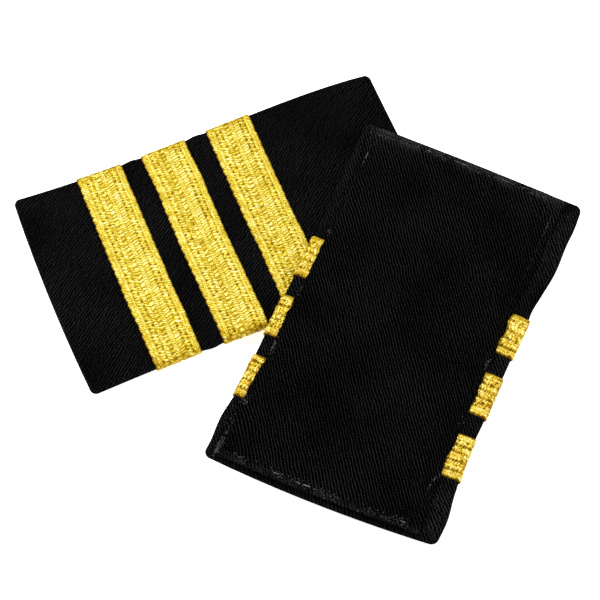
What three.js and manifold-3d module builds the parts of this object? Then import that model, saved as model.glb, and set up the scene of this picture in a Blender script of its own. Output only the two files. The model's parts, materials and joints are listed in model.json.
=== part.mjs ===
// A pair of shoulder-strap sliders with three braid bars each: one lies face up, the other lies
// back up across its corner. Millimetres, +Z up. The origin is the centre of the lower slider's
// back panel, where it rests on the table, and +X runs along that slider's length.
import * as THREE from 'three';
import * as BufferGeometryUtils from 'three/addons/utils/BufferGeometryUtils.js';
import Module from 'manifold-3d';

const manifold = await Module();
manifold.setup();

// ---------------------------------------------------------------- driving dimensions
const LENGTH = 104.4;           // slider, end to end
const WIDTH = 61;               // slider, across the cover
const CORNER_RADIUS = 2.5;      // cover's corners in plan
const PANEL_LENGTH = 102;         // back panel, hem to hem
const PANEL_WIDTH = 53;           // back panel, across its stitched edges
const BRAID_WIDTH = 12.7;       // half-inch rank braid
const BRAID_COUNT = 3;
const FIRST_BRAID = 17.7;       // near end to the first bar
const BRAID_SPACE = 5.9;        // cover showing between bars
const BRAID_TUCK = 6;           // how far a bar's end runs in under the back panel

const TWILL = 0.35;             // cover and panel cloth
const BOARD = 0.5;              // stiffener sheet
const LINING = 0.2;
const BRAID = 0.4;              // bar on the face
const BRAID_SIDE = 0.35;        // bar where it turns round the edge
const BRAID_PRESSED = 0.3;      // bar's end, flattened under the seam
const PLY_GAP = 0.2;            // air between neighbouring plies

const SIDE_TURNING = 11.5;      // cover turned to the back along each side
const END_TURNING = 9;          // cover turned to the back at each end
const HEM = 8;                  // panel turned in at each end
const EDGE_FOLD = 3;            // panel turned in along each side
const TUNNEL = 1.2;             // clear height for the shoulder strap, from cover to hem

const THREAD = 0.4;             // stitching thread, laid width
const THREAD_HEIGHT = 0.2;
const STITCH_INSET = 1.2;       // stitching line to the panel's folded edge
const STITCH_CHANNEL = 0.8;     // channel that the thread sinks into
const STITCH_DEPTH = 0.35;

// Where the upper slider lies: its centre on the table, its heading from the lower slider's +X,
// and the tilt it takes from resting on the table at one corner and on the lower slider.
const UPPER_X = 27.7;
const UPPER_Y = -44.1;
const UPPER_HEADING = THREE.MathUtils.degToRad(44.6);
const UPPER_PITCH = THREE.MathUtils.degToRad(1.55);
const UPPER_ROLL = THREE.MathUtils.degToRad(3.55);
const UPPER_LIFT = 3.6;         // its face's centre above the table

// ---------------------------------------------------------------- worked-out levels
// In a slider's own frame Z = 0 is the back panel's outer face and the cover's face is on top.
const PANEL_TOP = TWILL;
const HEM_TOP = 2 * TWILL;
const COVER_BACK = HEM_TOP + TUNNEL;
const POCKET_FLOOR = COVER_BACK + TWILL;
const BOARD_FLOOR = POCKET_FLOOR + PLY_GAP;
const POCKET_TOP = BOARD_FLOOR + BOARD + PLY_GAP;
const COVER_FACE = POCKET_TOP + TWILL;
const COVER_HEIGHT = COVER_FACE - COVER_BACK;
const PRESSED_FLOOR = COVER_BACK - PLY_GAP - BRAID_PRESSED;

// ---------------------------------------------------------------- materials
function cloth(color, roughness, metalness) {
  return new THREE.MeshStandardMaterial({ color, roughness, metalness });
}

const finishes = {
  twill: () => cloth(0x0b0b0d, 0.85, 0),
  braid: () => cloth(0xe8b92c, 0.4, 0.7),
  board: () => cloth(0x2a2a2c, 0.6, 0),
  lining: () => cloth(0x101012, 0.9, 0),
  thread: () => cloth(0x1c1c1f, 0.7, 0),
};

// ---------------------------------------------------------------- solids
function toSolid(geometry) {
  geometry.deleteAttribute('normal');
  geometry.deleteAttribute('uv');
  const merged = BufferGeometryUtils.mergeVertices(geometry, 1e-4);
  return new manifold.Manifold(new manifold.Mesh({
    numProp: 3,
    vertProperties: new Float32Array(merged.attributes.position.array),
    triVerts: new Uint32Array(merged.index.array),
  }));
}

function toGeometry(solid) {
  const { vertProperties, triVerts } = solid.getMesh();
  const geometry = new THREE.BufferGeometry();
  geometry.setAttribute('position', new THREE.BufferAttribute(vertProperties, 3));
  geometry.setIndex(new THREE.BufferAttribute(triVerts, 1));
  geometry.computeVertexNormals();
  return geometry;
}

// A block centred at x, y, from height z up.
function block(sizeX, sizeY, sizeZ, x, y, z) {
  const geometry = new THREE.BoxGeometry(sizeX, sizeY, sizeZ);
  geometry.translate(x, y, z + sizeZ / 2);
  return geometry;
}

// A flat sheet with rounded corners, centred on the origin, from height z up.
function sheet(sizeX, sizeY, thickness, radius, z, edge = 0) {
  const [halfX, halfY] = [sizeX / 2, sizeY / 2];
  const outline = new THREE.Shape();
  outline.moveTo(halfX - radius, -halfY);
  outline.absarc(halfX - radius, radius - halfY, radius, -Math.PI / 2, 0);
  outline.absarc(halfX - radius, halfY - radius, radius, 0, Math.PI / 2);
  outline.absarc(radius - halfX, halfY - radius, radius, Math.PI / 2, Math.PI);
  outline.absarc(radius - halfX, radius - halfY, radius, Math.PI, 1.5 * Math.PI);
  outline.closePath();
  const geometry = new THREE.ExtrudeGeometry(outline, {
    depth: thickness - 2 * edge,
    bevelEnabled: edge > 0,
    bevelThickness: edge,
    bevelSize: edge,
    bevelOffset: -edge,
    bevelSegments: 3,
    curveSegments: 5,
  });
  geometry.translate(0, 0, z + edge);
  return geometry;
}

// ---------------------------------------------------------------- pieces of one slider
// The cover is one cloth, turned over the stiffener's four edges and open at the back.
function coverSolid() {
  const rim = 0.45 * COVER_HEIGHT;
  const outer = toSolid(sheet(LENGTH, WIDTH, COVER_HEIGHT, CORNER_RADIUS, COVER_BACK, rim));
  const pocket = toSolid(sheet(LENGTH - 2 * TWILL, WIDTH - 2 * TWILL, POCKET_TOP - POCKET_FLOOR,
    CORNER_RADIUS - TWILL, POCKET_FLOOR));
  const opening = toSolid(block(LENGTH - 2 * END_TURNING, WIDTH - 2 * SIDE_TURNING, 2 * TWILL,
    0, 0, COVER_BACK - TWILL / 2));
  return outer.subtract(pocket).subtract(opening);
}

function boardGeometry() {
  const inset = 2 * (TWILL + PLY_GAP);
  return sheet(LENGTH - inset, WIDTH - inset, BOARD, CORNER_RADIUS - TWILL - PLY_GAP, BOARD_FLOOR);
}

// The lining fills the opening that the cover's turnings leave behind the stiffener.
function liningGeometry() {
  const inset = 2 * PLY_GAP;
  return block(LENGTH - 2 * END_TURNING - inset, WIDTH - 2 * SIDE_TURNING - inset, LINING,
    0, 0, BOARD_FLOOR - PLY_GAP - LINING);
}

// One bar of braid: over the face, round both long edges, and in under the back panel.
function braidGeometry() {
  const inner = WIDTH / 2 + PLY_GAP;
  const outer = inner + BRAID_SIDE;
  const tuck = PANEL_WIDTH / 2 - BRAID_TUCK;
  const faceLow = COVER_FACE + PLY_GAP;
  const faceTop = faceLow + BRAID;
  const backTop = PRESSED_FLOOR + BRAID_PRESSED;
  const turn = 0.5;
  const section = new THREE.Shape();
  section.moveTo(tuck, PRESSED_FLOOR);
  section.lineTo(outer - turn, PRESSED_FLOOR);
  section.absarc(outer - turn, PRESSED_FLOOR + turn, turn, -Math.PI / 2, 0);
  section.lineTo(outer, faceTop - turn);
  section.absarc(outer - turn, faceTop - turn, turn, 0, Math.PI / 2);
  section.absarc(turn - outer, faceTop - turn, turn, Math.PI / 2, Math.PI);
  section.lineTo(-outer, PRESSED_FLOOR + turn);
  section.absarc(turn - outer, PRESSED_FLOOR + turn, turn, Math.PI, 1.5 * Math.PI);
  section.lineTo(-tuck, PRESSED_FLOOR);
  section.lineTo(-tuck, backTop);
  section.lineTo(-inner, backTop);
  section.lineTo(-inner, faceLow);
  section.lineTo(inner, faceLow);
  section.lineTo(inner, backTop);
  section.lineTo(tuck, backTop);
  section.closePath();
  const geometry = new THREE.ExtrudeGeometry(section, {
    depth: BRAID_WIDTH,
    bevelEnabled: false,
    curveSegments: 4,
  });
  // The section's x and y become the slider's Y and Z, and the extrusion runs along X.
  geometry.applyMatrix4(new THREE.Matrix4().makeBasis(
    new THREE.Vector3(0, 1, 0), new THREE.Vector3(0, 0, 1), new THREE.Vector3(1, 0, 0)));
  return geometry;
}

// The channels that the four stitching lines sink into, on the back panel's outer face.
function stitchLines() {
  const alongX = PANEL_LENGTH / 2 - STITCH_INSET;
  const alongY = PANEL_WIDTH / 2 - STITCH_INSET;
  const hemRun = 2 * alongY - STITCH_CHANNEL - 2 * PLY_GAP;
  return {
    left_side_seam: { x: 0, y: alongY, runX: PANEL_LENGTH - 2 * PLY_GAP, runY: THREAD },
    right_side_seam: { x: 0, y: -alongY, runX: PANEL_LENGTH - 2 * PLY_GAP, runY: THREAD },
    near_hem_stitching: { x: -alongX, y: 0, runX: THREAD, runY: hemRun },
    far_hem_stitching: { x: alongX, y: 0, runX: THREAD, runY: hemRun },
  };
}

function threadGeometry({ x, y, runX, runY }) {
  return block(runX, runY, THREAD_HEIGHT, x, y, 0);
}

// The back panel with its two end hems turned in, and channels for the stitching.
function panelSolid() {
  let panel = toSolid(block(PANEL_LENGTH, PANEL_WIDTH, TWILL, 0, 0, 0));
  for (const side of [-1, 1]) {
    const x = side * (PANEL_LENGTH - HEM) / 2;
    panel = panel.add(toSolid(block(HEM, PANEL_WIDTH, 2 * TWILL, x, 0, 0)));
  }
  const spare = STITCH_CHANNEL - THREAD;
  for (const { x, y, runX, runY } of Object.values(stitchLines())) {
    const channel = block(runX + spare, runY + spare, 2 * STITCH_DEPTH, x, y, -STITCH_DEPTH);
    panel = panel.subtract(toSolid(channel));
  }
  return panel;
}

// The panel's side edge, rolled in twice so that it reaches the cover and closes the tunnel.
function edgeFoldGeometry(side) {
  const y = side * (PANEL_WIDTH - EDGE_FOLD) / 2;
  const z = HEM_TOP + PLY_GAP;
  return block(PANEL_LENGTH, EDGE_FOLD, PRESSED_FLOOR - PLY_GAP - z, 0, y, z);
}

function addPiece(slider, name, geometry, finish) {
  const mesh = new THREE.Mesh(geometry, finishes[finish]());
  mesh.name = name;
  slider.add(mesh);
  return mesh;
}

function makeSlider(prefix) {
  const slider = new THREE.Group();
  addPiece(slider, `${prefix}_front_cover`, toGeometry(coverSolid()), 'twill');
  addPiece(slider, `${prefix}_stiffener_board`, boardGeometry(), 'board');
  addPiece(slider, `${prefix}_lining`, liningGeometry(), 'lining');
  for (let bar = 0; bar < BRAID_COUNT; bar += 1) {
    const mesh = addPiece(slider, `${prefix}_braid_bar_${bar + 1}`, braidGeometry(), 'braid');
    mesh.position.x = FIRST_BRAID + bar * (BRAID_WIDTH + BRAID_SPACE) - LENGTH / 2;
  }
  addPiece(slider, `${prefix}_back_panel`, toGeometry(panelSolid()), 'twill');
  addPiece(slider, `${prefix}_left_edge_fold`, edgeFoldGeometry(1), 'twill');
  addPiece(slider, `${prefix}_right_edge_fold`, edgeFoldGeometry(-1), 'twill');
  for (const [name, line] of Object.entries(stitchLines())) {
    addPiece(slider, `${prefix}_${name}`, threadGeometry(line), 'thread');
  }
  return slider;
}

// ---------------------------------------------------------------- the pair
const pair = new THREE.Group();
pair.add(makeSlider('lower'));

// The upper slider is turned over about its length, then tilted, then headed across the lower one.
const upper = makeSlider('upper');
upper.position.z = COVER_FACE;
upper.rotation.x = Math.PI;
const tilted = new THREE.Group();
tilted.rotation.set(UPPER_ROLL, -UPPER_PITCH, 0);
tilted.add(upper);
const placed = new THREE.Group();
placed.position.set(UPPER_X, UPPER_Y, UPPER_LIFT);
placed.rotation.z = UPPER_HEADING;
placed.add(tilted);
pair.add(placed);

export default pair;
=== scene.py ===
import json
import math

import bpy
import numpy as np
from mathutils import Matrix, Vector


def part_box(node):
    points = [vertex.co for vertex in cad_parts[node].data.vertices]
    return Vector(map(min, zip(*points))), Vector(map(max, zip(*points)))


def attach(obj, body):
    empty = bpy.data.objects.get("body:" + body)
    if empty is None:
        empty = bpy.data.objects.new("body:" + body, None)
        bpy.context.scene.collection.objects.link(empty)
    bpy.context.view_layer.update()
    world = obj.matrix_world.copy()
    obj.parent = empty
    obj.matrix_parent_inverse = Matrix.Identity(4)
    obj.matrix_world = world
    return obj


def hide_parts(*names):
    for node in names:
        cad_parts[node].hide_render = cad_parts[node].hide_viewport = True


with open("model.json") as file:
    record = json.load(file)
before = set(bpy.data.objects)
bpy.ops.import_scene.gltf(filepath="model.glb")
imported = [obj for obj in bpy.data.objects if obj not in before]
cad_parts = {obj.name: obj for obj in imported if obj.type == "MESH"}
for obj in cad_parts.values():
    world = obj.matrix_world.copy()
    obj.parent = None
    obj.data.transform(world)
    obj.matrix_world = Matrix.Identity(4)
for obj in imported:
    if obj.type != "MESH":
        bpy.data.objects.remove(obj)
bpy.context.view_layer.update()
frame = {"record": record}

# A pair of three-bar shoulder sliders. Each piece is laid out in millimetres in its slider's own
# frame: u along the length, v across it, and w from the back panel's outer face up to the braid.
# Slider.place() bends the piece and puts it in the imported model's frame, in metres.

MM = 0.001
RANDOM_SEED = 7

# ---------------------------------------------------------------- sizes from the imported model


def box_mm(node):
    """Lowest and highest corner of a CAD node, in millimetres."""
    low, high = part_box(node)
    return np.array(low) / MM, np.array(high) / MM


COVER_LOW, COVER_HIGH = box_mm("lower_front_cover")
PANEL_HIGH = box_mm("lower_back_panel")[1]
BRAID_LOW, BRAID_HIGH = box_mm("lower_braid_bar_1")
BOARD_LOW, BOARD_HIGH = box_mm("lower_stiffener_board")
LINING_LOW, LINING_HIGH = box_mm("lower_lining")
SEAM_LOW, SEAM_HIGH = box_mm("lower_left_side_seam")
HEM_LINE_LOW, HEM_LINE_HIGH = box_mm("lower_far_hem_stitching")

HALF_LENGTH = COVER_HIGH[0]
HALF_WIDTH = COVER_HIGH[1]
COVER_BACK, COVER_FACE = COVER_LOW[2], COVER_HIGH[2]
PANEL_HALF_LENGTH = PANEL_HIGH[0]
PANEL_HALF_WIDTH = PANEL_HIGH[1]
BRAID_WIDTH = BRAID_HIGH[0] - BRAID_LOW[0]
BARS = [sum(box_mm(f"lower_braid_bar_{bar}"))[0] / 2 for bar in (1, 2, 3)]
BRAID_SPACE = BARS[1] - BARS[0] - BRAID_WIDTH
SEAM_V = (SEAM_LOW[1] + SEAM_HIGH[1]) / 2
HEM_LINE_U = (HEM_LINE_LOW[0] + HEM_LINE_HIGH[0]) / 2

CLOTH = 0.35            # thickness of the cover's and the panel's twill
CORNER_RADIUS = 1.7
SIDE_TURNING = 11.5     # cover turned to the back along its sides
END_TURNING = 9.0       # cover turned to the back at its ends
HEM = 8.0               # panel turned in at its ends
EDGE_FOLD = 3.0         # panel turned in along its sides
BRAID_GROUND = 0.1      # braid's ground cloth
BRAID_BASE = 0.2        # up to the floor of its ribs
BRAID_RELIEF = 0.3      # height of the weave
BRAID_TUCK = 5.0        # braid's ends, inside the panel's edge
REST_GAP = 0.05         # air between plies that lie on each other


def smoothstep(low, high, value):
    """0 below low, 1 above high, and a smooth turn between them."""
    share = np.clip((value - low) / (high - low), 0, 1)
    return share * share * (3 - 2 * share)


def bump(centre, half, value):
    """1 at the centre, falling smoothly to 0 at half away from it."""
    share = np.clip(1 - np.abs((value - centre) / half), 0, 1)
    return share * share * (3 - 2 * share)


def bumps(rows, value):
    """Sum of bumps, each given by its centre, its half, and its height."""
    return sum(height * bump(centre, half, value) for centre, half, height in rows)


class Noise:
    """Smooth seeded noise on a wrapped lattice, from -1 to 1."""

    SIZE = 256

    def __init__(self, seed):
        self.lattice = np.random.default_rng(seed).uniform(-1, 1, (self.SIZE, self.SIZE))

    def __call__(self, x, y=0.0):
        x, y = np.broadcast_arrays(np.asarray(x, float), np.asarray(y, float))
        column, row = np.floor(x).astype(int), np.floor(y).astype(int)
        right, up = x - column, y - row
        right, up = right * right * (3 - 2 * right), up * up * (3 - 2 * up)

        def corner(i, j):
            return self.lattice[(column + i) % self.SIZE, (row + j) % self.SIZE]

        lower = corner(0, 0) * (1 - right) + corner(1, 0) * right
        upper = corner(0, 1) * (1 - right) + corner(1, 1) * right
        return lower * (1 - up) + upper * up


# ---------------------------------------------------------------- how the two sliders are bent
# x and y are u and v as shares of the half length and half width. Heights and shifts are in mm.
EDGE_WAVE = Noise(RANDOM_SEED + 1)
PUFF = 0.4                      # how far the cover's sides stand out between the bars of braid
PANEL_SLIP = 0.7                # how far off centre the back panel is sewn on
PANEL_BOW = 0.8                 # how much further off centre it is at its ends
WANDER = 0.42                   # unevenness of the panel's side edges
WANDER_PITCH = 2.1
WANDER_REACH = 3.5              # how far in from a side edge the unevenness is felt
# Where the upper slider's long edges are pulled aside: place along u, reach, and shift along v.
LEFT_PULLS = ((31, 11, 0.7), (18, 5, -0.3), (-27, 12, -0.5), (-45, 8, 0.6), (56, 13, -1.2))
RIGHT_PULLS = ((-41, 8, -0.6),)


def puffed(u, v):
    """The cover's sides puff out a little between the bars of braid, which hold them in."""
    gaps = sum(bump((BARS[bar] + BARS[bar + 1]) / 2, BRAID_SPACE / 2 + 0.3, u) for bar in (0, 1))
    return PUFF * gaps * np.sign(v) * smoothstep(0.85, 1, np.abs(v) / HALF_WIDTH)


def lower_lift(u, v):
    """How far the lower slider stands off the table: an arch, higher toward its far right corner."""
    x, y = u / HALF_LENGTH, v / HALF_WIDTH
    middle, slope, swell = 1.47 + 1.02 * y, 1.82 + 1.9 * y, 0.27 + 0.77 * y
    return (1 - x**2) * (middle + slope * x + swell * x**2)


def upper_lift(u, v):
    """The upper slider sags where it crosses the lower one's edge, and its far left corner rides up."""
    x, y = u / HALF_LENGTH, v / HALF_WIDTH
    tilt = 0.7 + 0.3 * x - 0.2 * y
    sag = 0.16 * (1 - y**2) - 0.45 * (1 - x**2)
    twist = -0.58 * x * y
    curl = (0.71 - 0.33 * y) * x**3
    return tilt + sag + twist + curl


def lower_shift(u, v):
    """In-plane pull on the lower slider: waisted at its bars, with its ends flared and bowed."""
    x, y = u / HALF_LENGTH, v / HALF_WIDTH
    bow = -(1 - y**2) * np.where(x > 0, 0.46, 0.87) * x**2
    lean = 0.11 * y - 0.07 * y * (1 - x**2)
    flare = y * (1.75 * x**2 + 0.54 * x - 0.24)
    return bow + lean, puffed(u, v) + flare


def upper_shift(u, v):
    """In-plane pull on the upper slider, as on the lower one, and the small turn that it has taken."""
    x, y = u / HALF_LENGTH, v / HALF_WIDTH
    bow = -1.29 * (1 - y**2) * np.clip(-x, 0, None) ** 2
    slipped_along, slipped_across = 0.34 * y - 0.4, 0.32 * x - 0.69
    pinch = (3.0 * np.clip(x, 0, None) ** 1.5 + 0.5 * bump(0.25, 0.5, x)) * np.clip(-y, 0, 1)
    left, right = smoothstep(0.75, 1, y), smoothstep(0.75, 1, -y)
    pulled = bumps(LEFT_PULLS, u) * left + bumps(RIGHT_PULLS, u) * right
    flare = y * (1.84 * x**2 + 0.9 * x - 0.22)
    return bow + slipped_along, slipped_across + pinch + pulled + flare


def panel_askew(u, v):
    """v of a point of the back panel, which is sewn on a little off centre, with wavy side edges."""
    x = u / HALF_LENGTH
    near_edge = smoothstep(PANEL_HALF_WIDTH - WANDER_REACH, PANEL_HALF_WIDTH, np.abs(v))
    wave = WANDER * EDGE_WAVE(u / WANDER_PITCH, np.sign(v) * 3) * near_edge
    return v - PANEL_SLIP - PANEL_BOW * x**2 + wave * smoothstep(0.85, 0.7, np.abs(x))


class Slider:
    """One slider's frame, and the bend that its cloth and stiffener have taken."""

    def __init__(self, name, back_mount, lift, shift):
        mounts = {mount["name"]: mount for mount in frame["record"]["mounts"]}
        self.name = name
        self.body = f"{name}_slider"
        self.lift, self.shift = lift, shift
        self.origin = np.array(mounts[back_mount]["pos_m"]) / MM
        thick = -np.array(mounts[back_mount]["axis"], float)
        centres = [sum(box_mm(f"{name}_braid_bar_{bar}")) / 2 for bar in (1, 3)]
        along = centres[1] - centres[0]
        along -= thick * (along @ thick)
        along /= np.linalg.norm(along)
        self.axes = np.stack([along, np.cross(thick, along), thick])
        self.upward = 1 if thick[2] > 0 else -1

    def place(self, points):
        """Local points (u, v, w) in millimetres, bent and put in the part's own frame, in metres."""
        points = np.asarray(points, float)
        u, v, w = points[..., 0], points[..., 1], points[..., 2]
        along, across = self.shift(u, v)
        local = np.stack([u + along, v + across, w + self.upward * self.lift(u, v)], -1)
        return (self.origin + local @ self.axes) * MM


LOWER = Slider("lower", "rest_face", lower_lift, lower_shift)
UPPER = Slider("upper", "upper_back_face", upper_lift, upper_shift)

# ---------------------------------------------------------------- mesh helpers


def grid_faces(rows, columns, wrap_columns=False):
    """Quads of a grid of rows x columns points, numbered row by row."""
    row = np.arange(rows - 1)[:, None]
    column = np.arange(columns if wrap_columns else columns - 1)[None, :]
    next_column = (column + 1) % columns
    corners = (
        row * columns + column,
        (row + 1) * columns + column,
        (row + 1) * columns + next_column,
        row * columns + next_column,
    )
    return np.stack(np.broadcast_arrays(*corners), -1).reshape(-1, 4)


def new_mesh(name, points, faces, attributes=None):
    """A smooth-shaded mesh object of quads. attributes are vectors or numbers at its points."""
    mesh = bpy.data.meshes.new(name)
    mesh.vertices.add(len(points))
    mesh.vertices.foreach_set("co", np.ascontiguousarray(points, np.float32).ravel())
    mesh.loops.add(faces.size)
    mesh.loops.foreach_set("vertex_index", np.ascontiguousarray(faces, np.int32).ravel())
    mesh.polygons.add(len(faces))
    mesh.polygons.foreach_set("loop_start", np.arange(0, faces.size, 4, dtype=np.int32))
    mesh.polygons.foreach_set("use_smooth", np.ones(len(faces), bool))
    mesh.update(calc_edges=True)
    for key, values in (attributes or {}).items():
        values = np.ascontiguousarray(values, np.float32)
        kind, field = ("FLOAT_VECTOR", "vector") if values.ndim == 2 else ("FLOAT", "value")
        mesh.attributes.new(key, kind, "POINT").data.foreach_set(field, values.ravel())
    mesh.validate()
    thing = bpy.data.objects.new(name, mesh)
    bpy.context.scene.collection.objects.link(thing)
    return thing


def add_piece(slider, name, points, faces, material, attributes=None, stands_for=()):
    """A named piece of a slider, placed, finished, and riding on its body."""
    piece = new_mesh(f"{slider.name}_{name}", slider.place(points), faces, attributes)
    piece.data.materials.append(material)
    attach(piece, slider.body)
    if stands_for:
        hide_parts(*(f"{slider.name}_{node}" for node in stands_for))
    return piece


def thicken(piece, thickness, offset):
    """Gives an open sheet its cloth thickness."""
    solidify = piece.modifiers.new("thickness", "SOLIDIFY")
    solidify.thickness = thickness * MM
    solidify.offset = offset


THREAD_TIP = 0.04               # how blunt a thread's ends are
THREAD_TAPER = 2.5              # how soon it is at its full thickness
THREAD_THINNEST = 0.15          # share of its radius that is left at its ends


def tubes(paths, radii, sides):
    """Points and faces of many thin threads, which taper at their ends."""
    all_points, all_faces, start = [], [], 0
    turn = np.linspace(0, 2 * math.pi, sides, endpoint=False)
    for path, radius in zip(paths, radii):
        count = len(path)
        tangent = np.gradient(path, axis=0)
        tangent /= np.linalg.norm(tangent, axis=1, keepdims=True)
        side = np.cross(tangent, [0.0, 0.0, 1.0])
        side /= np.maximum(np.linalg.norm(side, axis=1, keepdims=True), 1e-6)
        up = np.cross(side, tangent)
        along = np.linspace(0, 1, count)
        swell = np.sin(math.pi * (THREAD_TIP + (1 - 2 * THREAD_TIP) * along))
        taper = radius * np.clip(THREAD_TAPER * swell, THREAD_THINNEST, 1)
        ring = np.cos(turn)[None, :, None] * side[:, None] + np.sin(turn)[None, :, None] * up[:, None]
        all_points.append((path[:, None] + taper[:, None, None] * ring).reshape(-1, 3))
        all_faces.append(grid_faces(count, sides, wrap_columns=True) + start)
        start += count * sides
    return np.concatenate(all_points), np.concatenate(all_faces)


def stretch(*stops):
    """One axis of a grid: stops are a start value and then (end value, steps) pairs."""
    values = [np.array([stops[0]], float)]
    for end, steps in stops[1:]:
        values.append(np.linspace(values[-1][-1], end, steps + 1)[1:])
    return np.concatenate(values)


# ---------------------------------------------------------------- materials
TWILL_PITCH = 0.767             # one rib of the twill to the next
TWILL_FLOAT = 0.7               # length of one float along its rib
TWILL_STAGGER = 0.37            # how far ahead of its neighbour's a rib's floats are
GLINT = 6                       # how much paler than the ribs the twill's brightest floats are
SPECK = 14                      # how much paler than the ribs its specks of lint are
TURNING_GAIN = 0.45             # how much paler the cover is at its rim and back than on its face
RUBBED_REACH = 2.6              # how far in from the panel's folded ends it is rubbed grey
FAR_PALING_REACH = 12.0               # how far in from its far end the panel is paler
FAR_PALING_SLOPE = 0.06               # how much paler each millimetre of that reach is
WARM_GOLD = (0.9, 0.62, 0.08)
# Gold from painted shade to painted highlight: dark orange-brown in the weave's holes, near white for
# glints on its crowns.
GOLD_SHADE_TO_HIGHLIGHT = [
    (0.0, (0.17, 0.09, 0.001)),
    (0.26, (0.38, 0.26, 0.002)),
    (0.50, (0.58, 0.45, 0.02)),
    (0.74, (0.80, 0.72, 0.18)),
    (1.0, (1.0, 0.98, 0.70)),
]


def grey(value):
    """A grey of that brightness."""
    return (value, value, value)


BLACK, WHITE = grey(0), grey(1)
WORN_GREY = (0.045, 0.045, 0.046)


class Nodes:
    """Short ways to add and link shader nodes in one material."""

    def __init__(self, name):
        self.material = bpy.data.materials.new(name)
        self.material.use_nodes = True
        self.tree = self.material.node_tree
        self.shader = self.tree.nodes["Principled BSDF"]

    def add(self, kind, inputs=None, **settings):
        node = self.tree.nodes.new(kind)
        for key, value in settings.items():
            setattr(node, key, value)
        for key, value in (inputs or {}).items():
            self.feed(node.inputs[key], value)
        return node

    def feed(self, socket, value):
        if isinstance(value, bpy.types.NodeSocket):
            self.tree.links.new(value, socket)
        else:
            socket.default_value = value

    def math(self, operation, first, second=0.0, third=0.0):
        return self.add("ShaderNodeMath", {0: first, 1: second, 2: third}, operation=operation).outputs[0]

    def scale(self, value, factor, offset=0.0):
        """value times factor, plus offset."""
        return self.math("MULTIPLY_ADD", value, factor, offset)

    def limit(self, value, low, high):
        return self.math("MINIMUM", self.math("MAXIMUM", value, low), high)

    def triangle(self, value):
        """A wave that goes from 0 to 1 and back for each step of 1 in value."""
        return self.math("MULTIPLY", self.math("PINGPONG", value, 0.5), 2.0)

    def split(self, vector):
        outputs = self.add("ShaderNodeSeparateXYZ", {"Vector": vector}).outputs
        return outputs["X"], outputs["Y"], outputs["Z"]

    def attribute(self, name, output="Vector"):
        return self.add("ShaderNodeAttribute", attribute_name=name).outputs[output]

    def noise(self, scale, detail=2.0, vector=None, roughness=0.5):
        inputs = {"Scale": scale, "Detail": detail, "Roughness": roughness}
        if vector is not None:
            inputs["Vector"] = vector
        return self.add("ShaderNodeTexNoise", inputs).outputs["Fac"]

    def ramp(self, factor, stops, mode="LINEAR"):
        node = self.add("ShaderNodeValToRGB", {"Fac": factor})
        node.color_ramp.interpolation = mode
        elements = node.color_ramp.elements
        while len(elements) < len(stops):
            elements.new(0.5)
        for element, (position, color) in zip(elements, stops):
            element.position = position
            element.color = (*color, 1)
        return node.outputs["Color"]

    def mix(self, factor, first, second, blend="MIX"):
        """Mixes two colours, each a socket or three numbers."""
        node = self.add("ShaderNodeMix", data_type="RGBA", blend_type=blend)
        self.feed(node.inputs[0], factor)
        for socket, value in ((node.inputs[6], first), (node.inputs[7], second)):
            self.feed(socket, (*value, 1) if isinstance(value, tuple) else value)
        return node.outputs[2]

    def bump(self, height, strength, distance, normal=None):
        inputs = {"Height": height, "Strength": strength, "Distance": distance}
        if normal is not None:
            inputs["Normal"] = normal
        return self.add("ShaderNodeBump", inputs).outputs["Normal"]

    def finish(self, color, roughness, normal=None, **constants):
        self.feed(self.shader.inputs["Base Color"], color)
        self.feed(self.shader.inputs["Roughness"], roughness)
        if normal is not None:
            self.feed(self.shader.inputs["Normal"], normal)
        for key, value in constants.items():
            self.shader.inputs[key.replace("_", " ")].default_value = value
        return self.material


def twill_material(name, angle, groove, rib, unevenness, add_wear):
    """Black twill: slanted ribs of short floats. The cloth attribute is a place on the flat cloth, in mm.

    groove and rib are brightnesses, and add_wear(n, cloth, color) returns the worn colour.
    """
    n = Nodes(name)
    cloth = n.attribute("cloth")
    x, y, _ = n.split(cloth)
    cosine, sine = math.cos(math.radians(angle)), math.sin(math.radians(angle))
    across = n.math("SUBTRACT", n.math("MULTIPLY", y, cosine), n.math("MULTIPLY", x, sine))
    along = n.math("ADD", n.math("MULTIPLY", x, cosine), n.math("MULTIPLY", y, sine))
    drift, shake = n.noise(0.12, 2.0, cloth), n.noise(1.1, 1.0, cloth)
    wander = n.math("MULTIPLY_ADD", drift, 1.6, n.math("MULTIPLY", shake, unevenness))
    ribs = n.math("ADD", n.math("DIVIDE", across, TWILL_PITCH), wander)
    rib_height = n.ramp(n.triangle(ribs), [(0.3, BLACK), (0.8, WHITE)], "EASE")
    stagger = n.math("MULTIPLY", n.math("FLOOR", ribs), TWILL_STAGGER)
    floats = n.math("ADD", n.math("DIVIDE", along, TWILL_FLOAT), stagger)
    float_height = n.math("POWER", n.triangle(floats), 0.5)
    height = n.math("MULTIPLY", rib_height, n.scale(float_height, 0.5, 0.5))
    fuzz = n.noise(2.6, 3.0, cloth, 0.7)
    patches = n.noise(0.05, 2.0, cloth)
    # The colour follows the twill's height: painted shade in its grooves and painted glints on its highest
    # floats. The broad patches paint a soft sheen.
    level = n.math("MULTIPLY", height, n.scale(fuzz, 1.7, 0.15))
    level = n.math("MULTIPLY", level, n.scale(patches, 0.9, 0.55))
    color = n.ramp(level, [(0.3, grey(groove)), (0.6, grey(rib)), (1.0, grey(GLINT * rib))])
    specks = n.ramp(n.noise(1.7, 1.0, cloth), [(0.81, BLACK), (0.85, WHITE)])
    color = add_wear(n, cloth, n.mix(specks, color, grey(SPECK * rib)))
    normal = n.bump(height, 0.8, 0.09 * MM)
    normal = n.bump(fuzz, 0.3, 0.04 * MM, normal)
    return n.finish(color, n.scale(fuzz, 0.2, 0.7), normal, IOR=1.05, Specular_IOR_Level=0.2)


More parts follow.
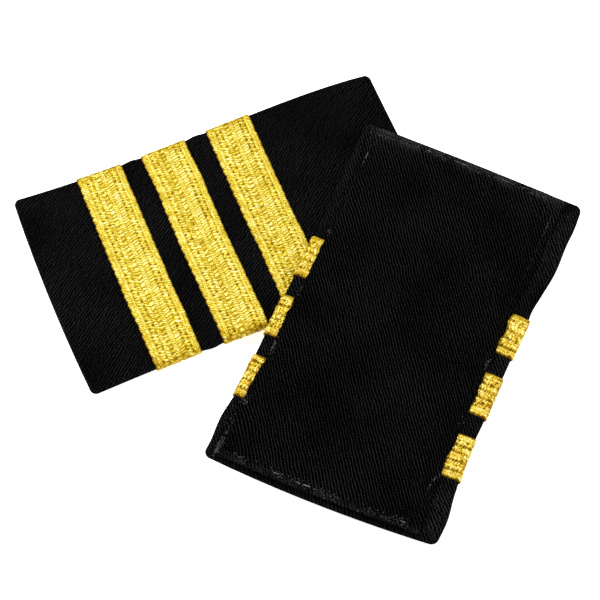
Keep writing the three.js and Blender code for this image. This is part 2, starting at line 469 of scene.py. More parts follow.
def paler_turnings(n, cloth, color):
    """The cover is paler at its rim and back, where cloth z is 0, than on its face."""
    z = n.split(cloth)[2]
    gain = n.scale(z, -TURNING_GAIN / COVER_FACE, 1 + TURNING_GAIN)
    return n.mix(1.0, color, gain, "MULTIPLY")


def rubbed_ends(n, cloth, color):
    """The panel is rubbed grey along both folded ends, most at the far one, and is paler toward the far
    end.
    """
    x = n.split(cloth)[0]
    which_end = n.math("SIGN", x)
    start = n.scale(which_end, -0.8, PANEL_HALF_LENGTH - RUBBED_REACH)
    rubbed = n.math("MULTIPLY", n.math("SUBTRACT", n.math("ABSOLUTE", x), start), 0.45)
    rubbed = n.math("MULTIPLY", n.limit(rubbed, 0.0, 1.0), n.scale(which_end, 0.2, 0.8))
    blotches = n.ramp(n.noise(0.16, 2.0, cloth), [(0.4, grey(0.06)), (0.62, WHITE)])
    pile = n.ramp(n.noise(2.3, 3.0, cloth, 0.8), [(0.42, BLACK), (0.7, WHITE)])
    rubbed = n.mix(1.0, n.mix(1.0, blotches, pile, "MULTIPLY"), rubbed, "MULTIPLY")
    far_paling = n.scale(x, FAR_PALING_SLOPE, -FAR_PALING_SLOPE * (PANEL_HALF_LENGTH - FAR_PALING_REACH))
    gain = n.math("ADD", n.limit(far_paling, 0.0, 0.6), 1.0)
    return n.mix(rubbed, n.mix(1.0, color, gain, "MULTIPLY"), WORN_GREY)


def gold_material():
    """Metallised yarn: painted highlights on the weave's crowns, painted orange-brown shade in its holes
    and folds.
    """
    n = Nodes("gold_braid")
    tape = n.attribute("tape")
    across, along, turned = n.split(tape)
    relief = n.attribute("relief", "Fac")
    # The shade attribute is painted shade on folds, at the panel's edge and in creases, and painted
    # highlight where it is below 0.
    folded = n.attribute("shade", "Fac")
    tone = n.noise(0.5, 3.0, tape)
    painted_glints = n.noise(2.9, 3.0, tape, 0.75)
    grain = n.noise(7.0, 3.0, tape, 0.75)
    twist = n.triangle(n.math("ADD", n.math("MULTIPLY", across, 5.5), n.math("MULTIPLY", along, 3.4)))
    # The colour follows the weave's relief, with painted shade low down and painted highlights on the
    # crowns; the fine noise added next paints glints.
    level = n.scale(relief, 1.5, -0.42)
    level = n.math("ADD", level, n.scale(painted_glints, 2.5, -1.3))
    level = n.math("ADD", level, n.scale(grain, 0.3, -0.15))
    level = n.math("SUBTRACT", level, n.math("MULTIPLY", folded, 0.45))
    color = n.ramp(n.math("MULTIPLY", level, 0.74), GOLD_SHADE_TO_HIGHLIGHT)
    # Painted warm shade: the wraps behind the slider and the shaded folds, tucks and creases are made more
    # orange.
    turned = n.math("MAXIMUM", turned, n.math("MULTIPLY", folded, 1.4))
    warmth = n.math("MULTIPLY_ADD", tone, 0.3, n.math("MULTIPLY", turned, 0.3))
    color = n.mix(warmth, color, WARM_GOLD, "MULTIPLY")
    normal = n.bump(twist, 0.4, 0.03 * MM)
    normal = n.bump(grain, 0.6, 0.05 * MM, normal)
    return n.finish(color, n.scale(grain, 0.3, 0.3), normal, Metallic=0.5, Specular_IOR_Level=0.15)


def thread_material():
    """Black sewing thread, rubbed pale in a few places."""
    n = Nodes("sewing_thread")
    fibre = n.noise(9.0, 2.0, n.attribute("cloth"), 0.7)
    rubbed = n.math("MULTIPLY", n.attribute("worn", "Fac"), n.scale(fibre, 0.9, 0.5))
    tones = [(0.0, grey(0.002)), (0.3, (0.012, 0.012, 0.013)), (1.0, (0.3, 0.3, 0.31))]
    normal = n.bump(fibre, 0.6, 0.03 * MM)
    return n.finish(n.ramp(rubbed, tones), n.scale(fibre, 0.3, 0.5), normal, Specular_IOR_Level=0.05)


def lining_material():
    """Plain-weave lining."""
    n = Nodes("lining_cloth")
    x, y, _ = n.split(n.attribute("cloth"))
    warp = n.math("PINGPONG", n.math("MULTIPLY", x, 2.5), 0.5)
    weft = n.math("PINGPONG", n.math("MULTIPLY", y, 2.5), 0.5)
    weave_height = n.math("ADD", warp, weft)
    # The colour follows the weave's height: painted shade between the threads.
    color = n.ramp(weave_height, [(0.1, (0.003, 0.003, 0.004)), (1.0, (0.016, 0.016, 0.018))])
    return n.finish(color, 0.8, n.bump(weave_height, 0.6, 0.05 * MM), Specular_IOR_Level=0.1)


def board_material():
    """Matt stiffener sheet with a faint moulded grain."""
    n = Nodes("stiffener_board")
    grain = n.noise(900.0, 4.0)
    color = n.ramp(grain, [(0.3, (0.012, 0.012, 0.013)), (0.75, (0.032, 0.032, 0.035))])
    return n.finish(color, n.scale(grain, 0.3, 0.45), n.bump(grain, 0.3, 0.05 * MM))


def lint_material():
    """Pale fibres caught on the cloth."""
    n = Nodes("lint")
    color = n.ramp(n.noise(800.0, 2.0), [(0.3, (0.03, 0.03, 0.032)), (0.7, (0.2, 0.2, 0.21))])
    return n.finish(color, 0.8, Specular_IOR_Level=0.2)


def floor_material():
    """Plain white studio floor, lit from within so that it stays white under the soft light."""
    n = Nodes("studio_floor")
    color = n.ramp(n.noise(3.0, 2.0), [(0.0, grey(0.93)), (1.0, grey(0.95))])
    n.feed(n.shader.inputs["Emission Color"], (1, 1, 1, 1))
    n.shader.inputs["Emission Strength"].default_value = 0.8
    return n.finish(color, 0.9, Specular_IOR_Level=0.0)


# ---------------------------------------------------------------- front cover
WRINKLE = Noise(RANDOM_SEED)
RIM = (COVER_FACE - COVER_BACK) / 2
GRID_STEP = 0.9                 # spacing of the mesh of the cover and the board
CORNER_STEPS = 6
RIM_STEPS = 10
TURNING_STEPS = 12
CROWN = 0.06                    # unevenness of the cover's face
TURNING_SLACK = 0.05            # unevenness of its turnings


def rounded_axis(half, radius):
    """Grid lines along one side of a rounded rectangle, closer together at its corners."""
    straight = half - radius
    steps = int(2 * straight / GRID_STEP)
    return stretch(-half, (-straight, CORNER_STEPS), (straight, steps), (half, CORNER_STEPS))


def round_corners(u, v, half_u, half_v, radius):
    """Pulls a rectangle's grid in at its corners, so that its outline has round corners."""
    a = np.clip((np.abs(u) - half_u + radius) / radius, 0, 1)
    b = np.clip((np.abs(v) - half_v + radius) / radius, 0, 1)
    pulled_a, pulled_b = a * np.sqrt(1 - b * b / 2), b * np.sqrt(1 - a * a / 2)
    return u + np.sign(u) * radius * (pulled_a - a), v + np.sign(v) * radius * (pulled_b - b)


def rounded_grid(half_u, half_v, radius):
    """A rectangle's grid, square-cornered (flat_u, flat_v) and with its corners rounded (u, v)."""
    axis_u, axis_v = rounded_axis(half_u, radius), rounded_axis(half_v, radius)
    flat_u, flat_v = np.meshgrid(axis_u, axis_v, indexing="ij")
    return flat_u, flat_v, *round_corners(flat_u, flat_v, half_u, half_v, radius)


def cover_rings(edge, away, window):
    """Rings of points round the cover's rim and in over its back to the window that is left open.

    edge is the face's outline and away the way out of it. Each ring's place on the flat cloth comes too.
    """
    points, cloth = [], []
    for turn in np.linspace(0, math.pi, RIM_STEPS + 1)[1:]:
        out = edge + away * RIM * math.sin(turn)
        height = COVER_BACK + RIM * (1 + math.cos(turn))
        points.append(np.column_stack([out, np.full(len(out), height)]))
        cloth.append(np.column_stack([edge + away * RIM * turn, np.zeros(len(out))]))
    for share in stretch(0, (1, TURNING_STEPS))[1:]:
        inward = edge + (window - edge) * share
        slack = TURNING_SLACK * WRINKLE(inward[:, 0] / 5 + 40, inward[:, 1] / 5) * share
        points.append(np.column_stack([inward, COVER_BACK + slack]))
        moved = inward - edge
        depth = -np.sum(moved * away, axis=1, keepdims=True)
        flat = edge + moved + away * (RIM * math.pi + 2 * depth)
        cloth.append(np.column_stack([flat, np.zeros(len(inward))]))
    return points, cloth


def make_cover(slider, material):
    """The cover: one cloth over the face, round the four edges, and turned in at the back."""
    half_u, half_v, radius = HALF_LENGTH - RIM, HALF_WIDTH - RIM, CORNER_RADIUS - RIM
    flat_u, flat_v, u, v = rounded_grid(half_u, half_v, radius)
    crown = CROWN * WRINKLE(u / 9, v / 9) * smoothstep(0, 4, half_v - np.abs(v))
    face = np.stack([u, v, COVER_FACE + crown], -1).reshape(-1, 3)
    numbers = np.arange(u.size).reshape(u.shape)
    loop = np.concatenate([numbers[:-1, 0], numbers[-1, :-1], numbers[:0:-1, -1], numbers[0, :0:-1]])
    edge = face[loop, :2]
    corner = np.sign(edge) * [half_u - radius, half_v - radius]
    away = np.where(np.abs(edge) > np.abs(corner) - 1e-6, edge - corner, 0)
    away /= np.linalg.norm(away, axis=1, keepdims=True)
    square = np.stack([flat_u.ravel()[loop] / half_u, flat_v.ravel()[loop] / half_v], -1)
    window = square * [HALF_LENGTH - END_TURNING, HALF_WIDTH - SIDE_TURNING]
    rings, ring_cloth = cover_rings(edge, away, window)
    band = grid_faces(len(rings) + 1, len(loop), wrap_columns=True)
    band = np.where(band < len(loop), loop[band % len(loop)], band - len(loop) + u.size)
    faces = np.concatenate([grid_faces(*u.shape), band])
    piece = add_piece(
        slider, "cover", np.concatenate([face, *rings]), faces, material,
        {"cloth": np.concatenate([face, *ring_cloth])}, ["front_cover"],
    )
    thicken(piece, CLOTH, -1)


# ---------------------------------------------------------------- stiffener board and lining
BOARD_RADIUS = 2.0
BOARD_BEVEL = 0.12
LINING_GAP = 0.12               # air behind the lining
LINING_SLACK = 0.05


def make_board(slider, material):
    """The stiffener: a thin sheet with softened edges."""
    _, _, u, v = rounded_grid(BOARD_HIGH[0], BOARD_HIGH[1], BOARD_RADIUS)
    points = np.stack([u, v, np.full_like(u, BOARD_HIGH[2])], -1).reshape(-1, 3)
    piece = add_piece(
        slider, "board", points, grid_faces(*u.shape), material, stands_for=["stiffener_board"]
    )
    thicken(piece, BOARD_HIGH[2] - BOARD_LOW[2], -1)
    bevel = piece.modifiers.new("edge", "BEVEL")
    bevel.width, bevel.segments, bevel.limit_method = BOARD_BEVEL * MM, 2, "ANGLE"


def make_lining(slider, material):
    """The lining behind the stiffener, a little slack."""
    axis_u = np.linspace(LINING_LOW[0], LINING_HIGH[0], 90)
    axis_v = np.linspace(LINING_LOW[1], LINING_HIGH[1], 40)
    u, v = np.meshgrid(axis_u, axis_v, indexing="ij")
    w = LINING_LOW[2] + LINING_GAP + LINING_SLACK * WRINKLE(u / 6 + 9, v / 6)
    points = np.stack([u, v, w], -1).reshape(-1, 3)
    piece = add_piece(
        slider, "inner_lining", points, grid_faces(*u.shape), material,
        {"cloth": points}, ["lining"],
    )
    thicken(piece, LINING_HIGH[2] - LINING_LOW[2], 0)


# ---------------------------------------------------------------- back panel
PLY = CLOTH / 2 + 0.02          # radius of the panel's middle surface where it turns on itself
PANEL_TO_COVER = COVER_BACK - REST_GAP
BAR_UNDER_PANEL = BRAID_BASE + 0.18
STITCH_PITCH = 2.7
SEAM_DIMPLE = 0.1               # how deep a line of stitches pulls the panel in
DIMPLE_REACH = 0.9
MOUTH_OPEN = 0.25               # how far the panel stands open in the middle of its ends
MOUTH_HALF, MOUTH_REACH = 24, 25
PUCKER = 0.07                   # small creases beside the side seams
SLACK = 0.12                    # unevenness of the panel between them
PANEL_STEP = 0.8                # spacing of the panel's mesh
NAP_PER_END = 330
NAP_REACH = 24                  # how far from the middle of an end its nap is worn loose
# Places along the panel's side edges where the fold is frayed: u, side, reach, and how many fibres.
FRAYED = (
    (-2, 1, 2.6, 22), (-18.5, 1, 2.2, 8), (-1.5, -1, 2.4, 12), (-18.5, -1, 2.4, 45), (-35, -1, 1.4, 26),
    (17.5, -1, 1.2, 12), (-35, 1, 1.2, 5), (-48, -1, 1.6, 40), (-50, -1, 1.5, 50), (-44, -1, 5, 16),
)


def over_bars(u):
    """1 where a bar of braid lies under, 0 between bars."""
    half = BRAID_WIDTH / 2
    return sum(smoothstep(half + 0.8, half - 0.8, np.abs(u - bar)) for bar in BARS)


def stitch_dimples(line, off_line, along):
    """How far the stitches pull the panel in, at off_line from the middle and along their line."""
    pull = 0.6 + 0.4 * np.cos(2 * math.pi * along / STITCH_PITCH)
    return SEAM_DIMPLE * bump(line, DIMPLE_REACH, np.abs(off_line)) * pull


def panel_level(u, v):
    """Height of the panel's outer face: flat over the tunnel, and down to the cover at its seams."""
    side = PANEL_TO_COVER - 2 * CLOTH - 0.1 - BAR_UNDER_PANEL * over_bars(u)
    hem_edge = PANEL_HALF_LENGTH - HEM
    side = side - smoothstep(hem_edge - 1, hem_edge + 1, np.abs(u)) * (2 * CLOTH - 0.1)
    dip = smoothstep(SEAM_V - 4.5, SEAM_V + 0.4, np.abs(v)) ** 1.3
    mouth = bump(0, MOUTH_HALF, v)
    mouth = mouth * smoothstep(PANEL_HALF_LENGTH - MOUTH_REACH, PANEL_HALF_LENGTH, np.abs(u))
    dimples = stitch_dimples(SEAM_V, v, u) + stitch_dimples(HEM_LINE_U, u, v)
    pucker = PUCKER * WRINKLE(u / 3.1 + 70, v / 9) * smoothstep(17, 25, np.abs(v))
    slack = SLACK * WRINKLE(u / 16 + 31, v / 16) * (1 - dip)
    return dip * side + dimples + pucker + slack - MOUTH_OPEN * mouth + SLACK


def make_panel(slider, material, nap_material):
    """The back panel, with its end hems turned in first and its side edges turned in over them.

    a and b are places on the flat cloth. It is turned on half circles: of radius PLY at its ends, and at
    its sides of a radius that leaves room for the hem inside the fold.
    """
    fold_u, fold_v = PANEL_HALF_LENGTH - PLY, PANEL_HALF_WIDTH - PLY
    arc_u, arc_v = math.pi * PLY, 3 * math.pi * PLY
    end_u, end_v = fold_u + arc_u + HEM - PLY, fold_v + arc_v + EDGE_FOLD
    middle_u, middle_v = int(2 * fold_u / PANEL_STEP), int(2 * fold_v / PANEL_STEP)
    turned_u, turned_v = fold_u + arc_u, fold_v + arc_v
    axis_u = stretch(-end_u, (-turned_u, 10), (-fold_u, 6), (fold_u, middle_u), (turned_u, 6), (end_u, 10))
    axis_v = stretch(-end_v, (-turned_v, 6), (-fold_v, 8), (fold_v, middle_v), (turned_v, 8), (end_v, 6))
    a, b = np.meshgrid(axis_u, axis_v, indexing="ij")
    turn = np.clip((np.abs(a) - fold_u) / PLY, 0, math.pi)
    beyond = np.clip(np.abs(a) - turned_u, 0, None)
    u = np.sign(a) * (np.clip(np.abs(a), 0, fold_u) + PLY * np.sin(turn) - beyond)
    height = PLY * (1 - np.cos(turn))
    hemmed = smoothstep(fold_u - HEM - 0.8, fold_u - HEM + 0.8, np.abs(u))
    reach = PLY * (1 + 2 * hemmed)
    turn = np.clip((np.abs(b) - fold_v) / arc_v, 0, 1) * math.pi
    beyond = np.clip(np.abs(b) - turned_v, 0, None)
    lever = reach - height
    v = np.sign(b) * (np.clip(np.abs(b), 0, fold_v) + lever * np.sin(turn) - beyond)
    w = panel_level(u, v) + CLOTH / 2 + reach - lever * np.cos(turn)
    points = np.stack([u, panel_askew(u, v), w], -1).reshape(-1, 3)
    cloth = np.stack([a, b, np.zeros_like(a)], -1).reshape(-1, 3)
    piece = add_piece(
        slider, "back_cloth", points, grid_faces(*a.shape)[:, ::-1], material,
        {"cloth": cloth}, ["back_panel", "left_edge_fold", "right_edge_fold"],
    )
    thicken(piece, CLOTH, 0)
    nap = make_nap(slider, nap_material)


def nap_roots(draw):
    """Where the loose fibres start: in patches along both folded ends, and at the frayed side edges."""
    roots = []
    for end in (-1, 1):
        for _ in range(NAP_PER_END):
            v = draw.uniform(-NAP_REACH, NAP_REACH)
            if WRINKLE(v / 3.3 + 20 * end, 5.5) > draw.uniform(-0.9, 0.5):
                roots.append((end * draw.uniform(PANEL_HALF_LENGTH - 2.2, PANEL_HALF_LENGTH - 0.1), v))
    for place, side, reach, count in FRAYED:
        for _ in range(count):
            u = draw.normal(place, reach / 2)
            roots.append((u, side * (PANEL_HALF_WIDTH - abs(draw.normal(0, 0.4)))))
    return roots


def make_nap(slider, material):
    """Short fibres that have worked loose along the panel's two folded ends and at its side edges."""
    draw = np.random.default_rng(RANDOM_SEED + 40 + len(slider.name))
    paths, radii = [], []
    share = np.linspace(0, 1, 6)
    for u, v in nap_roots(draw):
        length, turn = draw.uniform(0.15, 0.6), draw.uniform(0, 2 * math.pi)
        angle = turn + draw.uniform(-1.5, 1.5) * share
        run_u = u + length * np.cumsum(np.cos(angle)) / len(share)
        run_v = v + length * np.cumsum(np.sin(angle)) / len(share)
        rise = 0.03 + draw.uniform(0.05, 0.3) * np.sin(math.pi * share)
        paths.append(np.stack([run_u, panel_askew(run_u, run_v), panel_level(run_u, run_v) - rise], -1))
        radii.append(draw.uniform(0.022, 0.05))
    points, faces = tubes(paths, radii, 5)
    return add_piece(slider, "panel_nap", points, faces, material)


# ---------------------------------------------------------------- braid bars
BRAID_STEP = 0.105              # spacing of the braid's mesh, both ways
BRAID_SKIN = BRAID_GROUND + 0.02
REPEAT = 2.5                    # length of one repeat of its weave
DRIFT = 0.05                    # how far the weave's rows stray, in repeats
RIB_WANDER, RIB_SHAKE = 0.3, 0.14       # how far single ribs do, slowly and from yarn to yarn, in ribs
RIB_POWER = 1.7                 # how round a rib is
HOLE_REACH = 0.55               # half the length of a hole
UNEVEN_GRAIN = 0.09             # height of the weave's fine unevenness
SERRATION = 0.17                # how far its ribs stand out along its inner selvedge
BACK_NARROWING = 0.035          # how much narrower it is pulled behind the slider
GATHER_PITCH = 2.5              # width of one of the gathers that it is pulled into there
GATHER_HEIGHT = 0.36
SELVEDGE = 1.2                  # width of the braid's serrated borders
TAPE_INSET = 0.12               # how far in from the weave's edges its ground cloth ends
TAPE_THINNING = 5               # how many of the weave's rows there are to one of its ground cloth
# Across the braid, from its inner selvedge: start, end, ribs in a repeat, lean of the ribs, their
# depth, and how high their crowns are.
COLUMNS = (
    (0.00, 1.15, 4, 0.30, 0.44, 0.96),
    (1.15, 2.15, 5, 0.50, 0.36, 0.93),
    (2.15, 3.95, 3, 0.25, 0.40, 0.97),
    (3.95, 5.05, 3, 0.30, 0.50, 0.97),
    (5.05, 6.25, 2, -0.12, 0.62, 0.93),
    (6.25, 7.55, 4, 0.15, 0.46, 0.98),
    (7.55, 9.15, 3, -0.30, 0.50, 0.97),
    (9.15, 10.9, 3, 0.25, 0.38, 0.96),
    (10.9, 11.6, 5, 0.50, 0.36, 0.93),
    (11.6, 12.7, 4, 0.35, 0.44, 0.96),
)
# Rows of holes: place across the braid, half width, and where the holes fall in a repeat with their
# depths.
HOLE_ROWS = (
    (2.50, 0.50, ((0.10, 0.95), (0.60, 0.45))),
    (3.62, 0.50, ((0.42, 0.90), (0.75, 0.50))),
    (9.42, 0.48, ((0.30, 0.85), (0.72, 0.55))),
    (10.6, 0.46, ((0.05, 1.00), (0.55, 0.50))),
)


def braid_path(back_tuck):
    """The braid's way round the slider: distance along it, and its (v, w) points and outward normals."""
    bend = RIM + REST_GAP
    turn_v, turn_w = HALF_WIDTH - RIM, (COVER_FACE + COVER_BACK) / 2
    flat = 2 * turn_v
    arc = math.pi * bend
    total = flat + 2 * arc + 2 * (turn_v - back_tuck)
    s = np.linspace(-total / 2, total / 2, int(total / BRAID_STEP))
    side, reach = np.sign(s), np.abs(s)
    turn = np.clip((reach - flat / 2) / bend, 0, math.pi)
    past = np.clip(reach - flat / 2 - arc, 0, None)
    v = side * (np.clip(reach, 0, flat / 2) + bend * np.sin(turn) - past)
    w = turn_w + bend * np.cos(turn)
    normal = np.stack([side * np.sin(turn), np.cos(turn)], -1)
    return s, np.stack([v, w], -1), normal, total


def ribbed(place, s, drift, jitter):
    """Height of the weave's ribs, column by column, before its holes."""
    height = np.zeros_like(place)
    for index, (low, high, ribs, lean, depth, crest) in enumerate(COLUMNS):
        inside = (2 * place - low - high) / (high - low)
        phase = s / REPEAT * ribs + lean * inside + ribs * drift
        phase = phase + RIB_WANDER * jitter(s / 0.9 + 31 * index, 3.7 * index)
        phase = phase + RIB_SHAKE * jitter(place / 0.45, s / 0.5 + 13)
        across = 2 * (phase - np.floor(phase)) - 1
        rib = 1 - np.abs(across) ** RIB_POWER
        strength = 1 + 0.2 * jitter(np.floor(phase) * 0.73 + 5, index * 7.3 + 2)
        crown = crest * (1 - 0.3 * np.abs(inside) ** 5)
        column = crown * strength * (1 - depth + depth * rib)
        height = np.where(np.abs(inside) <= 1, column, height)
    return height


def weave(x, s, jitter):
    """Height of the weave, about 0 to 1, at x across the braid and s along it."""
    place = x + BRAID_WIDTH / 2
    drift = DRIFT * jitter(s / 2.1, 4.4)
    height = ribbed(place, s, drift, jitter)
    for middle, half, holes in HOLE_ROWS:
        for at, depth in holes:
            turn = s / REPEAT - at + drift + 0.07 * jitter(s / 1.4, middle)
            along = np.abs(turn - np.round(turn)) * REPEAT
            deep = depth * (0.62 + 0.3 * jitter(np.round(turn) * 3.1 + at * 7, middle * 2))
            height = height - deep * bump(0, HOLE_REACH, along) * bump(middle, half, place)
    height = height + UNEVEN_GRAIN * jitter(place / 0.24, s / 0.24)
    return np.clip(height, 0, 1.15)


def serrated(across, along):
    """How far the weave's edges are pushed along u by the ends of its ribs, most at the inner one."""
    half = BRAID_WIDTH / 2
    wave = 2 * math.pi * along / REPEAT
    scallops = 0.7 * np.cos(wave) + 0.45 * np.cos(2 * wave + 1)
    inner, outer = smoothstep(SELVEDGE - half, -half, across), smoothstep(half - SELVEDGE, half, across)
    return SERRATION * scallops * (inner - 0.4 * outer) + 0.08 * inner


def gathered(across, along, jitter):
    """0 to 1 over the gathers that the braid is pulled into behind the slider."""
    bunches = across / GATHER_PITCH + 0.45 * jitter(across / 3.2 + 60, along / 14 + np.sign(along) * 9)
    return np.abs(np.cos(math.pi * bunches)) ** 0.45


def lace_shade(number, across, along, v, w, creases, jitter):
    """Painted shade on the yarn: on the fold round the slider's edge, at the panel's edge and in creases;
    below 0, painted highlights.
    """
    fold = np.exp(-((np.abs(along) - HALF_WIDTH) / 2.2) ** 2)
    fold = fold * (0.45 + 0.55 * jitter(across / 0.8, along / 0.8))
    panel_edge = np.sign(v) * panel_askew(BARS[number - 1], np.sign(v) * PANEL_HALF_WIDTH)
    # Painted shadow where the yarn goes in under the panel's edge.
    under_panel_shade = smoothstep(0.6, 0.0, np.abs(v) - panel_edge) * (w < COVER_BACK)
    return np.clip(0.8 * fold + 0.8 * under_panel_shade + creases, -0.9, 1)


def make_lace(slider, number, material, jitter, path, wander):
    """The raised weave of one bar, as a closed mesh with a flat underside."""
    s, line, normal, _ = path
    half = BRAID_WIDTH / 2
    x = np.linspace(-half, half, int(BRAID_WIDTH / BRAID_STEP))
    along, across = np.meshgrid(s, x, indexing="ij")
    height = weave(across, along, jitter)
    back = smoothstep(HALF_WIDTH * 1.01, HALF_WIDTH * 1.05, np.abs(along))
    u = BARS[number - 1] + (across + serrated(across, along)) * (1 - BACK_NARROWING * back) + wander
    edge = np.sqrt(np.clip(1 - (np.abs(across) / half) ** 26, 0, 1))
    rise = BRAID_SKIN + edge * (BRAID_BASE - BRAID_GROUND + BRAID_RELIEF * height)
    gathers = gathered(across, along, jitter)
    rise = rise + GATHER_HEIGHT * back * (gathers - 0.8) * edge
    point_v, point_w = line[:, 0:1] + normal[:, 0:1] * rise, line[:, 1:2] + normal[:, 1:2] * rise
    floor_v, floor_w = (line + normal * BRAID_SKIN).T
    under = np.stack([u[:, [-1, 0]], np.stack([floor_v] * 2, 1), np.stack([floor_w] * 2, 1)], -1)
    points = np.concatenate([np.stack([u, point_v, point_w], -1), under], 1)
    rows, ring = points.shape[:2]
    faces = grid_faces(rows, ring, wrap_columns=True)[:, ::-1]
    around = np.concatenate([across, across[:, [-1, 0]]], 1)
    tape = np.stack([around, np.repeat(along[:, :1], ring, 1), np.repeat(back[:, :1], ring, 1)], -1)
    relief = np.concatenate([height * edge, np.zeros((rows, 2))], 1)
    # Painted shade in the creases between the gathers, and painted highlights, below 0, on their ridges
    # and in random flecks.
    creases = back * (0.95 - 1.3 * gathers + 0.7 * jitter(across / 0.26, along / 0.4))
    shade = lace_shade(number, across, along, point_v, point_w, creases, jitter)
    shade = np.concatenate([shade, np.ones((rows, 2))], 1)
    return add_piece(
        slider, f"braid_lace_{number}", points.reshape(-1, 3), faces, material,
        {"tape": tape.reshape(-1, 3), "relief": relief.ravel(), "shade": shade.ravel()},
    )


def make_braid(slider, number, material):
    """One bar of braid over the face and in under the back panel at both ends: ground cloth and weave."""
    jitter = Noise(RANDOM_SEED + 10 * number + (100 if slider is UPPER else 0))
    path = braid_path(PANEL_HALF_WIDTH - BRAID_TUCK)
    s, line, _, total = path
    wander = (0.18 * jitter(s / 9, 2.2) + 0.08 * jitter(s / 2.5, 6.2))[:, None]
    lace = make_lace(slider, number, material, jitter, path, wander)
    few = slice(None, None, TAPE_THINNING)
    inset = BRAID_WIDTH / 2 - TAPE_INSET
    along, across = np.meshgrid(s[few], np.linspace(-inset, inset, 7), indexing="ij")
    v, w = (np.broadcast_to(line[few, axis, None], along.shape) for axis in (0, 1))
    points = np.stack([BARS[number - 1] + across + wander[few], v, w], -1).reshape(-1, 3)
    tape = np.stack([across, along, np.zeros_like(along)], -1).reshape(-1, 3)
    # The ground cloth lies under the weave and is given full painted shade.
    shaded_ground = np.ones(along.size)
    piece = add_piece(
        slider, f"rank_braid_{number}", points, grid_faces(*along.shape)[:, ::-1], material,
        {"tape": tape, "relief": 0.1 * shaded_ground, "shade": shaded_ground}, [f"braid_bar_{number}"],
    )
    thicken(piece, BRAID_GROUND, 1)


# ---------------------------------------------------------------- stitching
THREAD_RADIUS = 0.1
STITCH_ARCH = 0.16              # how high a stitch stands over the cloth in its middle
STITCH_SINK = 0.06              # how far its ends sink in
# Where a seam's thread is rubbed pale: place along the seam, reach, and how much.
RUBBED = {
    "left_side_seam": ((42, 8, 0.4), (31, 8, 0.25), (-37, 4, 0.55)),
    "right_side_seam": ((42, 5, 0.6), (30, 8, 0.15), (-35, 2, 0.6)),
    "near_hem_stitching": ((-12, 3, 0.6), (-4, 5, 0.9), (4, 3, 0.4), (22, 3, 0.9), (-24, 2, 0.4)),
    "far_hem_stitching": ((-11, 2, 0.8), (-2, 4, 0.7), (10, 6, 0.5), (20, 3, 0.4)),
}


def stitch_paths(fixed, start, end, along_u, draw):
    """Single stitches along one line, each a low arch whose ends sink into the cloth."""
    paths = []
    share = np.linspace(0, 1, 9)
    for first in np.arange(start, end - STITCH_PITCH, STITCH_PITCH):
        length = STITCH_PITCH * draw.uniform(0.74, 0.84)
        slant = draw.uniform(-0.12, 0.12)
        run = first + length * share
        drift = fixed + slant * (share - 0.5) + draw.uniform(-0.06, 0.06)
        u, v = (run, drift) if along_u else (drift, run)
        rise = STITCH_ARCH * np.sin(math.pi * share) ** 0.7 - STITCH_SINK
        paths.append(np.stack([u, panel_askew(u, v), panel_level(u, v) - rise], -1))
    return paths


def make_stitching(slider, material):
    """The two side seams and the two hem lines on the panel's outer face."""
    draw = np.random.default_rng(RANDOM_SEED + len(slider.name))
    run_u, run_v = PANEL_HALF_LENGTH - 0.6, SEAM_V - 0.4
    lines = {
        "left_side_seam": (SEAM_V, -run_u, run_u, True),
        "right_side_seam": (-SEAM_V, -run_u, run_u, True),
        "near_hem_stitching": (-HEM_LINE_U, -run_v, run_v, False),
        "far_hem_stitching": (HEM_LINE_U, -run_v, run_v, False),
    }
    for node, (fixed, start, end, along_u) in lines.items():
        paths = stitch_paths(fixed, start, end, along_u, draw)
        points, faces = tubes(paths, [THREAD_RADIUS] * len(paths), 7)
        name = node.replace("side_seam", "seam_thread").replace("hem_stitching", "hem_thread")
        worn = bumps(RUBBED[node], points[:, 0] if along_u else points[:, 1])
        attributes = {"cloth": points, "worn": worn}
        add_piece(slider, name, points, faces, material, attributes, [node])


# ---------------------------------------------------------------- both sliders
gold = gold_material()
thread = thread_material()
lining_cloth = lining_material()
stiffener = board_material()
cover_twill = twill_material("cover_twill", 37, 0.0004, 0.0021, 1.15, paler_turnings)
panel_twill = twill_material("panel_twill", -35.8, 0.0, 0.002, 0.65, rubbed_ends)
lint = lint_material()

for each in (LOWER, UPPER):
    make_board(each, stiffener)
    make_cover(each, cover_twill)
    make_lining(each, lining_cloth)
    make_panel(each, panel_twill, lint)
    for bar in (1, 2, 3):
        make_braid(each, bar, gold)
    make_stitching(each, thread)

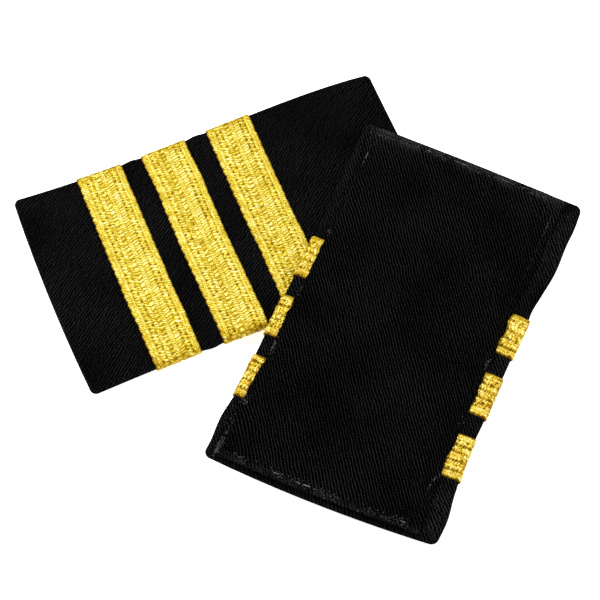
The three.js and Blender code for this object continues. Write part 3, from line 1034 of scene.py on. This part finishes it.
# ---------------------------------------------------------------- stage, lights and camera
TARGET = Vector((0.00781, -0.02467, 0.0))           # the point of the table that the camera looks at
HEADING = math.radians(67.33)
TOWARD = Vector((math.cos(HEADING), math.sin(HEADING), 0.0))       # the camera's way along the table
ELEVATION = math.radians(60.92)
DISTANCE = 0.5554
LENS, SENSOR = 126.84, 36
FLOOR_DROP = 0.0003             # the floor lies just under the cloth
SOFTBOX_DISTANCE, SOFTBOX_SIZE = 0.9, 0.35
# Softboxes: azimuth from the camera's side, clockwise seen from above, elevation, and power.
SOFTBOXES = {"key_softbox": (100, 40, 7), "fill_softbox": (-80, 40, 4), "top_softbox": (180, 60, 4)}


def add_object(name, data):
    thing = bpy.data.objects.new(name, data)
    bpy.context.scene.collection.objects.link(thing)
    return thing


def add_softbox(name, azimuth, elevation, power):
    data = bpy.data.lights.new(name, "AREA")
    data.shape, data.size, data.energy = "SQUARE", SOFTBOX_SIZE, power
    light = add_object(name, data)
    turn, rise = math.radians(azimuth), math.radians(elevation)
    right = Vector((TOWARD.y, -TOWARD.x, 0))
    level = -TOWARD * math.cos(turn) - right * math.sin(turn)
    offset = level * math.cos(rise) + Vector((0, 0, math.sin(rise)))
    light.location = TARGET + offset * SOFTBOX_DISTANCE
    light.rotation_euler = (-offset).to_track_quat("-Z", "Y").to_euler()


def add_floor():
    bpy.ops.mesh.primitive_plane_add(size=4, location=(0, 0, -FLOOR_DROP))
    floor = bpy.context.object
    floor.name = "studio_floor"
    floor.data.materials.append(floor_material())


def add_camera():
    data = bpy.data.cameras.new("camera")
    data.sensor_width, data.lens = SENSOR, LENS
    data.clip_start, data.clip_end = 0.01, 10
    camera = add_object("camera", data)
    sight = TOWARD * math.cos(ELEVATION) - Vector((0, 0, math.sin(ELEVATION)))
    camera.location = TARGET - sight * DISTANCE
    camera.rotation_euler = sight.to_track_quat("-Z", "Y").to_euler()
    bpy.context.scene.camera = camera


add_floor()
for name, setting in SOFTBOXES.items():
    add_softbox(name, *setting)

world = bpy.data.worlds.new("studio")
world.use_nodes = True
background = world.node_tree.nodes["Background"].inputs
background["Color"].default_value = (1, 1, 1, 1)
background["Strength"].default_value = 0.35
bpy.context.scene.world = world

add_camera()
bpy.context.scene.view_settings.view_transform = "Standard"
